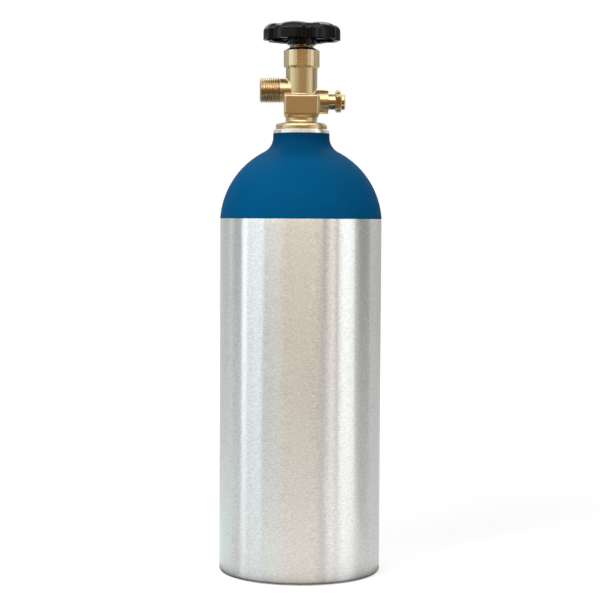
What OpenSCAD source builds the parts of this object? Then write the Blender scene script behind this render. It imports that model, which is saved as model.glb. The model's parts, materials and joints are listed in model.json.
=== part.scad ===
// Small seamless aluminium gas cylinder with a brass handwheel valve.
// The base stands on z = 0, the cylinder's axis is z, the outlet points along -x
// and the pressure relief device along +x.
// Threads are plain cylinders at their major diameter.

/* [Cylinder] */
// Outside diameter of the cylinder
body_d = 133.35; // [120:0.05:150]
// Height of the straight wall, from the base to the start of the shoulder
barrel_h = 288.3; // [200:0.1:400]
// Thickness of the side wall and the shoulder
wall = 6.8; // [4:0.1:9]
// Thickness of the base at its rim
base_t = 13; // [9:0.5:18]
// Radius of the outer edge of the base
base_edge_r = 3.2; // [1:0.1:5]
// Width of the flat ring that the cylinder stands on
foot_w = 15; // [8:0.5:25]
// Depth of the hollow under the base
base_hollow = 4; // [1:0.1:6]
// Radius inside the corner between wall and base
inner_corner_r = 14; // [6:0.5:25]
// Outside diameter of the neck
neck_d = 46; // [42:0.1:54]
// Radius between the shoulder and the neck
neck_fillet_r = 14; // [6:0.5:18]
// Height of the straight part of the neck
neck_straight = 6.2; // [4:0.1:12]
// Chamfer on the outer edge of the neck face
neck_chamfer = 1; // [0.4:0.1:1.5]

/* [Shoulder paint] */
// Height of the paint's surface above the metal, more than on a real coat
paint_t = 0.3; // [0.25:0.05:0.6]
// Height of the paint line above the start of the shoulder
paint_start = 4.6; // [1:0.1:20]
// Height of the bare metal band left at the top of the neck
bare_band = 3.2; // [1.6:0.1:3.8]

/* [Valve body] */
// Diameter of the inlet thread
inlet_d = 28.5; // [25:0.1:30]
// Length of the inlet thread below the flange
inlet_l = 21; // [16:0.5:30]
// Diameter of the flange
flange_d = 42.4; // [38:0.1:44]
// Thickness of the flange
flange_t = 5.3; // [4:0.1:8]
// Radius of the upper edge of the flange
flange_round = 2.6; // [1:0.1:3.5]
// Diameter of the round stalk of the body
stalk_d = 26; // [23:0.1:27]
// Radius between the flange and the stalk
stalk_fillet_r = 2; // [0.5:0.1:3]
// Height of the top of the body above the neck face
stalk_h = 50.1; // [48.6:0.1:56.6]
// Width across the four wrench flats
block_w = 29; // [27.2:0.1:32]
// Height of the lower end of the wrench flats above the neck face
block_z = 10.1; // [8:0.1:12]
// Height of the wrench flats
block_h = 18.1; // [14:0.1:20]
// Radius of the upright edges between the flats
block_edge_r = 2.5; // [1:0.1:5]
// Radius of the upper edges of the wrench flats
block_top_r = 1.2; // [0.5:0.1:3]
// Radius of the lower edges of the wrench flats
block_foot_r = 3; // [0.5:0.1:4]
// Diameter of the gas way up from the cylinder
inlet_bore_d = 8; // [5:0.1:10]

/* [Seat and closing plug] */
// Height of the seat above the neck face
seat_z = 28; // [27.6:0.1:29.1]
// Diameter of the seat orifice
orifice_d = 5; // [3:0.1:6]
// Outside diameter of the raised seat lip
lip_d = 9; // [8:0.1:10]
// Height of the seat lip above the chamber floor
lip_h = 1; // [0.5:0.1:1.5]
// Length of the orifice
orifice_l = 2.4; // [2:0.1:3]
// Diameter of the plug's thread
plug_d = 16.8; // [15:0.1:17.2]
// Diameter of the plug's nose
nose_d = 12.6; // [12:0.1:14]
// Length of the plug's nose
nose_l = 5.6; // [5:0.1:6]
// Length of the plug's thread
plug_thread_l = 6; // [5:0.1:7]
// Diameter of the plastic seat disc
disc_d = 9.6; // [8.5:0.1:10.5]
// Thickness of the plastic seat disc
disc_t = 2; // [1.5:0.1:2.5]
// Metal left between the seat disc and the drive socket
plug_floor_t = 1.2; // [0.8:0.1:1.6]
// Travel of the plug along its thread in one turn
plug_pitch = 1.8143; // [1.25:0.0001:2]
// Turns from closed to fully open
turns_open = 2; // [1:0.25:2]

/* [Outlet] */
// Height of the outlet axis above the neck face
outlet_z = 32.5; // [31.6:0.1:33.6]
// Diameter of the outlet thread
outlet_d = 20.955; // [18:0.005:23]
// Distance of the outlet face from the valve axis
outlet_reach = 34.3; // [30:0.1:42]
// Length of the outlet thread
outlet_thread_l = 16.2; // [12:0.1:17]
// Diameter of the plain part behind the thread
outlet_root_d = 19.8; // [17.5:0.1:22.5]
// Chamfer at the start of the outlet thread
outlet_chamfer = 1.2; // [0.5:0.1:1.8]
// Diameter of the bore in the outlet face
outlet_bore_d = 8.8; // [6.5:0.1:10]
// Depth of the bore in the outlet face
outlet_bore_l = 14; // [8:0.5:18]
// Diameter of the port between the chamber and the outlet bore
outlet_port_d = 6; // [4:0.1:6]

/* [Relief device] */
// Height of the relief device's axis above the neck face
relief_z = 23.5; // [22:0.1:24]
// Diameter of the boss for the relief device
relief_boss_d = 20.6; // [19:0.1:22]
// Distance of the boss face from the valve axis
relief_reach = 22.1; // [20:0.1:26]
// Chamfer on the edge of the boss face
relief_chamfer = 0.8; // [0.3:0.1:1.5]
// Diameter of the relief device's thread
relief_thread_d = 11; // [10:0.1:13]
// Depth of the threaded hole in the boss
relief_hole_l = 10.6; // [8:0.1:11]
// Diameter of the gas way to the relief device
relief_way_d = 3.2; // [2:0.1:4]
// Thickness of the gasket under the rupture disc
relief_gasket_t = 0.8; // [0.5:0.1:1.5]
// Thickness of the rupture disc
rupture_disc_t = 0.3; // [0.2:0.05:0.5]
// Diameter of the relief plug's round neck
relief_neck_d = 14; // [13:0.1:15.5]
// Length of the relief plug's round neck
relief_neck_l = 5.7; // [4:0.1:8]
// Width across the flats of the relief plug
relief_hex_af = 15.9; // [15.6:0.1:18]
// Length of the relief plug's hexagon
relief_hex_l = 5.2; // [4:0.1:8]
// Diameter of the relief plug's nose
relief_nose_d = 14.2; // [12:0.1:15]
// Length of the relief plug's nose
relief_nose_l = 3; // [2:0.1:5]
// Diameter of the relief plug's inner bore
relief_bore_d = 5; // [3:0.1:6]
// Diameter of the vent hole in each flat
vent_d = 2.6; // [1.5:0.1:3.5]
// Depth of the vent hole in each flat
vent_l = 2.2; // [1:0.1:3]
// Diameter of the way from a vent hole to the inner bore
vent_way_d = 1.2; // [0.8:0.1:1.5]
// Angle at which the screwed-in plug came to rest
relief_turn = 8; // [0:1:60]

/* [Bonnet] */
// Diameter of the round blank that the bonnet's flats are cut on
bonnet_d = 29.6; // [29:0.1:32]
// Width across the six flats of the bonnet
bonnet_af = 28.6; // [27:0.1:28.8]
// Chamfer on the lower end of the bonnet's hexagon
bonnet_chamfer = 1.9; // [0.5:0.1:2.5]
// Height of the bonnet from the top of the body to the foot of the gland
bonnet_h = 17.1; // [13:0.1:20]
// Height of the cone between the hexagon and the gland
bonnet_cone_h = 2.4; // [1:0.1:4]
// Diameter of the round gland on top of the bonnet
gland_d = 20.1; // [16:0.1:22]
// Height of the round gland
gland_h = 1.5; // [1:0.1:5]
// Chamfer on the upper edge of the gland
gland_chamfer = 0.5; // [0.3:0.1:0.8]
// Diameter of the bonnet's thread
bonnet_thread_d = 19.2; // [18.6:0.1:20.4]
// Thickness of the bonnet gasket
bonnet_gasket_t = 1; // [0.5:0.1:1.2]

/* [Spindle] */
// Diameter of the spindle in the bonnet
spindle_d = 9.9; // [9:0.1:11]
// Width of the square end that carries the handwheel
square_w = 6.9; // [5.5:0.1:6.9]
// Width of the square tang that turns the plug
tang_w = 5.8; // [4.5:0.1:6]
// Diameter of the spindle's collar
collar_d = 13.2; // [12:0.1:13.4]
// Thickness of the spindle's collar
collar_t = 2.6; // [1.5:0.1:3.5]
// Thickness of the thrust washer above the collar
thrust_t = 1; // [0.6:0.1:1.4]
// Diameter of the floor of the seal groove
groove_d = 6.4; // [5.5:0.1:7]
// Height of the seal groove's lower edge above the top of the body
groove_z = 3.5; // [2:0.1:6]
// Height of the spindle seal ring
seal_h = 2.1; // [1.5:0.1:2.6]
// Height of the back-up ring above the seal ring
backup_h = 1.4; // [1:0.1:2]
// Diameter of the threaded end that takes the handwheel nut
stud_d = 6.2; // [4:0.1:6.4]

/* [Handwheel] */
// Diameter over the lobes
wheel_d = 63.5; // [56:0.1:76]
// Height of the rim
wheel_h = 13.25; // [11.5:0.05:18]
// Radius over the upper edge of the rim and of the scallops
wheel_round = 6.2; // [3:0.1:6.5]
// Number of lobes
lobes = 6; // [5:1:8]
// Radius of the scallop between two lobes
scallop_r = 9.5; // [6:0.1:11]
// Depth of the scallop below the circle over the lobes
scallop_depth = 4; // [2:0.1:4.5]
// Height by which the round of a scallop runs past the crest, which leaves an edge there
scallop_edge = 0.4; // [0.2:0.1:1]
// Angle of the first lobe from the x axis
wheel_turn = 14; // [0:1:60]
// Diameter of the hub
hub_d = 24; // [21:0.1:28]
// Height of the hub
hub_h = 9.4; // [8:0.1:10.5]
// Distance that the hub stands below the rim
hub_drop = 3.85; // [1:0.05:4.5]
// Thickness of the wall round the rim, which follows the lobes
rim_wall = 3; // [2.5:0.1:5]
// Thickness of the disc between hub and rim
web_t = 4; // [3:0.1:5]
// Depth of the dish in the upper face
dish_h = 4.5; // [2:0.1:6]
// Diameter of the flat floor of the dish
dish_floor_d = 30; // [25:0.5:40]
// Width of the flat crest of the rim
crest_w = 3; // [1:0.1:5]
// Width of a rib under the disc
rib_w = 3; // [2:0.1:4]
// Height of the ribs' lower edge above the foot of the rim
rib_step = 2; // [0.5:0.1:4]
// Diameter of the nut's recess in the upper face
nut_recess_d = 17; // [16:0.1:20]
// Width across the flats of the handwheel nut
nut_af = 11; // [10:0.1:12]
// Height of the handwheel nut
nut_h = 5; // [3:0.1:5.5]
// Diameter of the washer under the handwheel nut
washer_d = 14.4; // [12:0.1:15.4]
// Thickness of the washer under the handwheel nut
washer_t = 1.2; // [0.8:0.1:1.6]
// Height of the stud above the nut
stud_over = 0.5; // [0.2:0.1:1]

/* [Fits] */
// Radial gap between a male thread and its hole
thread_gap = 0.1; // [0.05:0.01:0.2]
// Radial gap between the spindle and the bonnet's bore
running_gap = 0.05; // [0.02:0.01:0.1]
// Gap between faces that slide over each other
face_gap = 0.1; // [0.05:0.01:0.2]
// Gap on each side of a square drive
drive_gap = 0.1; // [0.05:0.01:0.2]
// Gap round a seal ring or washer
ring_gap = 0.1; // [0.05:0.01:0.2]
// Free height left between parts at the end of their travel
stop_gap = 0.4; // [0.3:0.1:0.8]
// Gap between the metal and the paint film
paint_gap = 0.1; // [0.05:0.01:0.15]
// Height of the gland for the neck seal ring
neck_seal_h = 2.6; // [2:0.1:3.5]
// Width of the gland for the neck seal ring
neck_seal_w = 3.4; // [2.5:0.1:4]

/* [Hidden] */
$fn = 96;
overcut = 1;

// Cylinder levels: the shoulder is a hemisphere that a fillet joins to the neck
body_r = body_d / 2;
neck_r = neck_d / 2;
fillet_x = neck_r + neck_fillet_r;
fillet_z = barrel_h + sqrt(pow(body_r + neck_fillet_r, 2) - pow(fillet_x, 2));
neck_z = fillet_z + neck_straight;
neck_bore_r = inlet_d / 2 + thread_gap;
hollow_r = body_r - base_edge_r - foot_w;
hollow_sphere_r = (pow(hollow_r, 2) + pow(base_hollow, 2)) / (2 * base_hollow);

// Valve levels
body_top = neck_z + stalk_h;
seat_level = neck_z + seat_z;
outlet_level = neck_z + outlet_z;
relief_level = neck_z + relief_z;
lift = plug_pitch * turns_open;
plug_h = nose_l + plug_thread_l;
socket_level = seat_level + disc_t + plug_floor_t;
bonnet_foot = seat_level + plug_h + lift + stop_gap;
gasket_ledge = bonnet_foot - bonnet_gasket_t;
chamber_r = plug_d / 2 + thread_gap;
bonnet_bore_r = bonnet_thread_d / 2 + thread_gap;

// Spindle levels
collar_foot = bonnet_foot + stop_gap;
thrust_foot = collar_foot + collar_t + face_gap;
bonnet_shoulder = thrust_foot + thrust_t;
counterbore_r = collar_d / 2 + ring_gap;
spindle_bore_r = spindle_d / 2 + running_gap;
gland_top = body_top + bonnet_h + gland_h;
groove_level = body_top + groove_z;
groove_h = seal_h + backup_h + ring_gap;
tang_foot = socket_level + lift + stop_gap;

// Handwheel levels
wheel_seat = gland_top + 2 * stop_gap;
rim_foot = wheel_seat + hub_drop;
rim_top = rim_foot + wheel_h;
recess_floor = wheel_seat + hub_h;
stud_foot = recess_floor - stop_gap;
nut_foot = recess_floor + washer_t;
stud_top = nut_foot + nut_h + stud_over;
wheel_r = wheel_d / 2;
hub_r = hub_d / 2;
lobe_angle = 360 / lobes;
scallop_x = wheel_r - scallop_depth + scallop_r;
rim_inner_r = wheel_r - rim_wall;
crest_inner_r = wheel_r - wheel_round - crest_w;
dish_floor = rim_top - dish_h;
hub_top = max(dish_floor, recess_floor);
web_foot = dish_floor - web_t;

// Relief device stations along x
relief_floor = relief_reach - relief_hole_l;
disc_face = relief_floor + relief_gasket_t + rupture_disc_t;
relief_hex_x = relief_reach + relief_neck_l;
relief_nose_x = relief_hex_x + relief_hex_l;
vent_x = relief_hex_x + relief_hex_l / 2;
relief_hole_r = relief_thread_d / 2 + thread_gap;

// Shapes that repeat

// A hexagonal prism on z, turned down to the half section that is given
module turned_hex(across_flats, h) {
    intersection() {
        cylinder(r = across_flats / 2 / cos(30), h = h, $fn = 6);
        rotate_extrude() children();
    }
}

// A hexagonal nut's outside on z, with full corners and 30 degree chamfers
module hex_nut(across_flats, h) {
    flat_r = across_flats / 2;
    corner_r = flat_r / cos(30);
    chamfer_h = (corner_r - flat_r) * tan(30);
    turned_hex(across_flats, h) polygon([
        [0, 0],
        [flat_r, 0],
        [corner_r, chamfer_h],
        [corner_r, h - chamfer_h],
        [flat_r, h],
        [0, h]
    ]);
}

// A flat or tall ring on z
module ring(inner_r, outer_r, h) {
    difference() {
        cylinder(r = outer_r, h = h);
        translate([0, 0, -overcut]) cylinder(r = inner_r, h = h + 2 * overcut);
    }
}

// A rubber ring on z whose round section is squeezed flat on the four sides of its gland
module squeezed_ring(inner_r, outer_r, h) {
    flat_share = 0.1;
    section_r = min(outer_r - inner_r, h) * (1 - flat_share) / 2;
    rotate_extrude() {
        translate([inner_r + section_r, 0]) square([outer_r - inner_r - 2 * section_r, h]);
        translate([inner_r, section_r]) square([outer_r - inner_r, h - 2 * section_r]);
        for (x = [inner_r + section_r, outer_r - section_r], z = [section_r, h - section_r])
            translate([x, z]) circle(r = section_r);
    }
}

// A square bar on z
module square_bar(w, h) {
    translate([-w / 2, -w / 2, 0]) cube([w, w, h]);
}

// Turns a shape built on z to lie along +x at the given height
module along_x(level) {
    translate([0, 0, level]) rotate([0, 90, 0]) children();
}

// Half section of the cylinder's outside, grown outwards by skin, in radius and height
module shell_outline(skin = 0) {
    outer_r = body_r + skin;
    throat_r = neck_fillet_r - skin;
    square([outer_r, barrel_h]);
    intersection() {
        translate([0, barrel_h]) circle(r = outer_r);
        translate([0, barrel_h - overcut]) square([outer_r, outer_r + overcut]);
    }
    difference() {
        polygon([[0, barrel_h], [fillet_x, fillet_z], [0, fillet_z]]);
        translate([fillet_x, fillet_z]) circle(r = throat_r);
    }
    translate([0, barrel_h]) square([neck_r + skin, neck_z - barrel_h]);
}

// Half section of the space inside the cylinder
module shell_cavity() {
    inner_r = body_r - wall;
    translate([0, base_t]) square([inner_r - inner_corner_r, barrel_h - base_t]);
    translate([0, base_t + inner_corner_r]) square([inner_r, barrel_h - base_t - inner_corner_r]);
    translate([inner_r - inner_corner_r, base_t + inner_corner_r]) circle(r = inner_corner_r);
    intersection() {
        translate([0, barrel_h]) circle(r = inner_r);
        translate([0, barrel_h - overcut]) square([inner_r, inner_r + overcut]);
    }
    translate([0, barrel_h]) square([neck_bore_r, neck_z - barrel_h + overcut]);
}

// Half section that is cut off to round the outer edge of the base
module base_edge_cut() {
    difference() {
        translate([body_r - base_edge_r, -overcut]) square([base_edge_r + overcut, base_edge_r + overcut]);
        translate([body_r - base_edge_r, base_edge_r]) circle(r = base_edge_r);
    }
}

// Sub-parts

// One seamless aluminium vessel with a hollow base and a bored neck
module cylinder_shell() {
    color("silver") rotate_extrude() difference() {
        shell_outline();
        shell_cavity();
        base_edge_cut();
        translate([0, base_hollow - hollow_sphere_r]) circle(r = hollow_sphere_r);
        translate([0, neck_z - neck_seal_h]) square([neck_bore_r + neck_seal_w, neck_seal_h + overcut]);
        translate([neck_r, neck_z]) rotate(45) square(neck_chamfer * sqrt(2), center = true);
    }
}

// The coat of blue enamel on the shoulder and neck
module shoulder_paint() {
    paint_foot = barrel_h + paint_start;
    paint_h = neck_z - bare_band - paint_foot;
    color("#06588a") rotate_extrude() intersection() {
        difference() {
            shell_outline(paint_t);
            shell_outline(paint_gap);
        }
        translate([0, paint_foot]) square([body_r + overcut, paint_h]);
    }
}

// The rubber ring squeezed between the neck and the valve's flange
module neck_seal_ring() {
    color("#202020") translate([0, 0, neck_z - neck_seal_h])
        squeezed_ring(inlet_d / 2 + ring_gap, neck_bore_r + neck_seal_w - ring_gap, neck_seal_h);
}

// Half section of the valve body's turned inlet, flange and stalk, from the neck face
module stalk_outline() {
    stalk_r = stalk_d / 2;
    flange_r = flange_d / 2;
    inlet_chamfer = 1.5;
    polygon([
        [0, -inlet_l],
        [inlet_d / 2 - inlet_chamfer, -inlet_l],
        [inlet_d / 2, inlet_chamfer - inlet_l],
        [inlet_d / 2, 0],
        [0, 0]
    ]);
    intersection() {
        square([flange_r, flange_t]);
        union() {
            square([flange_r, flange_t - flange_round]);
            square([flange_r - flange_round, flange_t]);
            translate([flange_r - flange_round, flange_t - flange_round]) circle(r = flange_round);
        }
    }
    difference() {
        square([stalk_r + stalk_fillet_r, flange_t + stalk_fillet_r]);
        translate([stalk_r + stalk_fillet_r, flange_t + stalk_fillet_r]) circle(r = stalk_fillet_r);
    }
    square([stalk_r, stalk_h]);
}

// Outline of one pair of wrench flats seen from the side, rounded over the top and under the foot
module flats_outline() {
    half = block_w / 2;
    translate([-half, block_foot_r]) square([block_w, block_h - block_foot_r - block_top_r]);
    translate([block_foot_r - half, 0]) square([block_w - 2 * block_foot_r, block_h - block_top_r]);
    translate([block_top_r - half, block_foot_r])
        square([block_w - 2 * block_top_r, block_h - block_foot_r]);
    for (side = [-1, 1]) {
        translate([side * (half - block_foot_r), block_foot_r]) circle(r = block_foot_r);
        translate([side * (half - block_top_r), block_h - block_top_r]) circle(r = block_top_r);
    }
}

// The four wrench flats, with their lower corners turned off
module wrench_block() {
    half = block_w / 2;
    cone_r = block_w;
    intersection() {
        linear_extrude(block_h) union() {
            square([block_w, block_w - 2 * block_edge_r], center = true);
            square([block_w - 2 * block_edge_r, block_w], center = true);
            for (x = [-1, 1], y = [-1, 1])
                translate([x, y] * (half - block_edge_r)) circle(r = block_edge_r);
        }
        rotate([90, 0, 0]) linear_extrude(2 * block_w, center = true) flats_outline();
        rotate([90, 0, 90]) linear_extrude(2 * block_w, center = true) flats_outline();
        rotate_extrude() polygon([
            [0, 0],
            [half, 0],
            [cone_r, (cone_r - half) * tan(30)],
            [cone_r, block_h],
            [0, block_h]
        ]);
    }
}

// The outlet spigot, built on z from the valve axis outwards
module outlet_spigot() {
    thread_r = outlet_d / 2;
    cylinder(r = outlet_root_d / 2, h = outlet_reach - outlet_chamfer);
    translate([0, 0, outlet_reach - outlet_thread_l])
        cylinder(r = thread_r, h = outlet_thread_l - outlet_chamfer);
    translate([0, 0, outlet_reach - outlet_chamfer])
        cylinder(r1 = thread_r, r2 = thread_r - outlet_chamfer, h = outlet_chamfer);
}

// The boss for the relief device, built on z from the valve axis outwards
module relief_boss() {
    boss_r = relief_boss_d / 2;
    cylinder(r = boss_r, h = relief_reach - relief_chamfer);
    translate([0, 0, relief_reach - relief_chamfer])
        cylinder(r1 = boss_r, r2 = boss_r - relief_chamfer, h = relief_chamfer);
}

// The way from the cylinder through the seat and chamber to the bonnet
module valve_bores() {
    chamber_floor = seat_level - lip_h;
    orifice_foot = seat_level - orifice_l;
    translate([0, 0, neck_z - inlet_l - overcut])
        cylinder(d = inlet_bore_d, h = orifice_foot - neck_z + inlet_l + overcut);
    translate([0, 0, orifice_foot - overcut]) cylinder(d = orifice_d, h = orifice_l + 2 * overcut);
    difference() {
        translate([0, 0, chamber_floor]) cylinder(r = chamber_r, h = gasket_ledge - chamber_floor + overcut);
        translate([0, 0, chamber_floor - overcut]) cylinder(d = lip_d, h = lip_h + overcut);
    }
    translate([0, 0, gasket_ledge]) cylinder(r = bonnet_bore_r, h = body_top - gasket_ledge + overcut);
}

// The forged and machined brass body of the valve
module valve_body() {
    color("#c09a5c") difference() {
        union() {
            translate([0, 0, neck_z]) rotate_extrude() stalk_outline();
            translate([0, 0, neck_z + block_z]) wrench_block();
            mirror([1, 0, 0]) along_x(outlet_level) outlet_spigot();
            along_x(relief_level) relief_boss();
        }
        valve_bores();
        mirror([1, 0, 0]) along_x(outlet_level) {
            cylinder(d = outlet_port_d, h = outlet_reach - overcut);
            translate([0, 0, outlet_reach - outlet_bore_l])
                cylinder(d = outlet_bore_d, h = outlet_bore_l + overcut);
        }
        along_x(relief_level) {
            cylinder(d = relief_way_d, h = relief_reach - overcut);
            translate([0, 0, relief_floor]) cylinder(r = relief_hole_r, h = relief_hole_l + overcut);
        }
    }
}

// The threaded plug that rises off the seat as the spindle turns it
module closing_plug() {
    color("#b8924f") difference() {
        translate([0, 0, seat_level]) union() {
            cylinder(d = nose_d, h = nose_l);
            translate([0, 0, nose_l]) cylinder(d = plug_d, h = plug_thread_l);
        }
        translate([0, 0, seat_level - overcut]) cylinder(d = disc_d, h = disc_t + overcut);
        translate([0, 0, socket_level]) square_bar(tang_w + 2 * drive_gap, plug_h);
    }
}

// The plastic disc in the plug that closes on the seat lip
module seat_disc() {
    color("ivory") translate([0, 0, seat_level]) cylinder(d = disc_d, h = disc_t);
}

// The spindle: square tang, thrust collar, sealed shank, square end and stud
module spindle() {
    color("#c9a25f") {
        difference() {
            translate([0, 0, collar_foot]) cylinder(d = spindle_d, h = wheel_seat - collar_foot);
            translate([0, 0, groove_level]) ring(groove_d / 2, spindle_d, groove_h);
        }
        translate([0, 0, tang_foot]) square_bar(tang_w, collar_foot - tang_foot);
        translate([0, 0, collar_foot]) cylinder(d = collar_d, h = collar_t);
        translate([0, 0, wheel_seat]) square_bar(square_w, stud_foot - wheel_seat);
        translate([0, 0, stud_foot]) cylinder(d = stud_d, h = stud_top - stud_foot);
    }
}

// The rubber ring that seals the spindle in the bonnet
module spindle_seal_ring() {
    color("#202020") translate([0, 0, groove_level]) squeezed_ring(groove_d / 2, spindle_d / 2, seal_h);
}

// The plastic ring that backs the spindle's seal
module spindle_backup_ring() {
    color("white") translate([0, 0, groove_level + seal_h]) ring(groove_d / 2, spindle_d / 2, backup_h);
}

// The plastic washer that takes the spindle's upward thrust
module thrust_washer() {
    color("white") translate([0, 0, thrust_foot]) ring(spindle_bore_r, counterbore_r - ring_gap, thrust_t);
}

// The hexagonal bonnet that screws into the body and guides the spindle
module bonnet() {
    blank_r = bonnet_d / 2;
    color("#c8a468") difference() {
        union() {
            translate([0, 0, bonnet_foot]) cylinder(d = bonnet_thread_d, h = body_top - bonnet_foot);
            translate([0, 0, body_top]) turned_hex(bonnet_af, bonnet_h) polygon([
                [0, 0],
                [blank_r - bonnet_chamfer, 0],
                [blank_r, bonnet_chamfer],
                [blank_r, bonnet_h - bonnet_cone_h],
                [gland_d / 2, bonnet_h],
                [0, bonnet_h]
            ]);
            translate([0, 0, body_top + bonnet_h]) {
                cylinder(d = gland_d, h = gland_h - gland_chamfer);
                translate([0, 0, gland_h - gland_chamfer])
                    cylinder(d1 = gland_d, d2 = gland_d - 2 * gland_chamfer, h = gland_chamfer);
            }
        }
        translate([0, 0, bonnet_foot - overcut])
            cylinder(r = counterbore_r, h = bonnet_shoulder - bonnet_foot + overcut);
        translate([0, 0, bonnet_foot]) cylinder(r = spindle_bore_r, h = gland_top - bonnet_foot + overcut);
    }
}

// The flat gasket under the foot of the bonnet
module bonnet_gasket() {
    color("#a0522d") translate([0, 0, gasket_ledge])
        ring(chamber_r, bonnet_thread_d / 2, bonnet_gasket_t);
}

// Half section of the handwheel before it is scalloped
module wheel_section() {
    difference() {
        translate([0, rim_foot]) union() {
            square([wheel_r - wheel_round, wheel_h]);
            square([wheel_r, wheel_h - wheel_round]);
            translate([wheel_r - wheel_round, wheel_h - wheel_round]) circle(r = wheel_round);
        }
        polygon([
            [0, dish_floor],
            [dish_floor_d / 2, dish_floor],
            [crest_inner_r, rim_top],
            [crest_inner_r, rim_top + overcut],
            [0, rim_top + overcut]
        ]);
    }
    translate([0, wheel_seat]) square([hub_r, hub_top - wheel_seat]);
}

// The hollow under the wheel's disc, which leaves an even wall along the lobes
module under_pocket() {
    translate([0, 0, rim_foot - overcut]) linear_extrude(web_foot - rim_foot + overcut) difference() {
        circle(r = rim_inner_r);
        circle(r = hub_r);
        for (i = [0 : lobes - 1])
            rotate(wheel_turn + (i + 0.5) * lobe_angle) translate([scallop_x, 0])
                circle(r = scallop_r + rim_wall);
    }
}

// The cutter of one scallop, flared so that the rounded rim runs on round it
module scallop_cutter() {
    flare_z = wheel_h - wheel_round + scallop_edge;
    rotate_extrude() {
        translate([0, -overcut]) square([scallop_r, wheel_h + 2 * overcut]);
        difference() {
            translate([0, flare_z]) square([scallop_r + wheel_round, wheel_round + overcut]);
            translate([scallop_r + wheel_round, flare_z]) circle(r = wheel_round);
        }
    }
}

// The black handwheel: scalloped rim, dished disc with ribs under it, and hub
module handwheel() {
    rib_foot = rim_foot + rib_step;
    rib_l = rim_inner_r - hub_r + 2 * overcut;
    color("#151515") difference() {
        union() {
            difference() {
                rotate_extrude() wheel_section();
                under_pocket();
            }
            for (i = [0 : lobes - 1])
                rotate(wheel_turn + i * lobe_angle) translate([hub_r - overcut, -rib_w / 2, rib_foot])
                    cube([rib_l, rib_w, web_foot - rib_foot + overcut]);
        }
        for (i = [0 : lobes - 1])
            rotate(wheel_turn + (i + 0.5) * lobe_angle) translate([scallop_x, 0, rim_foot])
                scallop_cutter();
        translate([0, 0, wheel_seat - overcut]) square_bar(square_w + 2 * drive_gap, wheel_h);
        translate([0, 0, recess_floor]) cylinder(d = nut_recess_d, h = wheel_h);
    }
}

// The steel washer under the handwheel nut
module handwheel_washer() {
    color("gainsboro") translate([0, 0, recess_floor]) ring(stud_d / 2 + ring_gap, washer_d / 2, washer_t);
}

// The steel nut that holds the handwheel on the spindle
module handwheel_nut() {
    color("gainsboro") translate([0, 0, nut_foot]) difference() {
        hex_nut(nut_af, nut_h);
        translate([0, 0, -overcut]) cylinder(r = stud_d / 2 + thread_gap, h = nut_h + 2 * overcut);
    }
}

// The vented brass plug that holds the rupture disc down
module relief_plug() {
    nose_chamfer = 1;
    nose_r = relief_nose_d / 2;
    bore_end = relief_nose_x - 1;
    vent_floor = relief_hex_af / 2 - vent_l;
    color("#bf9a58") along_x(relief_level) rotate(relief_turn) difference() {
        union() {
            translate([0, 0, disc_face]) cylinder(d = relief_thread_d, h = relief_reach - disc_face);
            translate([0, 0, relief_reach]) cylinder(d = relief_neck_d, h = relief_neck_l);
            translate([0, 0, relief_hex_x]) hex_nut(relief_hex_af, relief_hex_l);
            translate([0, 0, relief_nose_x]) {
                cylinder(r = nose_r, h = relief_nose_l - nose_chamfer);
                translate([0, 0, relief_nose_l - nose_chamfer])
                    cylinder(r1 = nose_r, r2 = nose_r - nose_chamfer, h = nose_chamfer);
            }
        }
        translate([0, 0, disc_face - overcut])
            cylinder(d = relief_bore_d, h = bore_end - disc_face + overcut);
        for (i = [0 : 5])
            translate([0, 0, vent_x]) rotate(30 + i * 60) rotate([0, 90, 0]) {
                cylinder(d = vent_way_d, h = relief_hex_af);
                translate([0, 0, vent_floor]) cylinder(d = vent_d, h = relief_hex_af);
            }
    }
}

// The thin metal disc that bursts at too high a pressure
module rupture_disc() {
    color("#b87333") along_x(relief_level)
        translate([0, 0, relief_floor + relief_gasket_t]) cylinder(d = relief_thread_d, h = rupture_disc_t);
}

// The gasket between the rupture disc and the body
module relief_gasket() {
    color("white") along_x(relief_level)
        translate([0, 0, relief_floor]) ring(relief_way_d / 2, relief_thread_d / 2, relief_gasket_t);
}

cylinder_shell();
shoulder_paint();
neck_seal_ring();
valve_body();
closing_plug();
seat_disc();
spindle();
spindle_seal_ring();
spindle_backup_ring();
thrust_washer();
bonnet();
bonnet_gasket();
handwheel();
handwheel_washer();
handwheel_nut();
relief_plug();
rupture_disc();
relief_gasket();
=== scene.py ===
import json
import math

import bmesh
import bpy
from mathutils import Matrix, Vector


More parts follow.
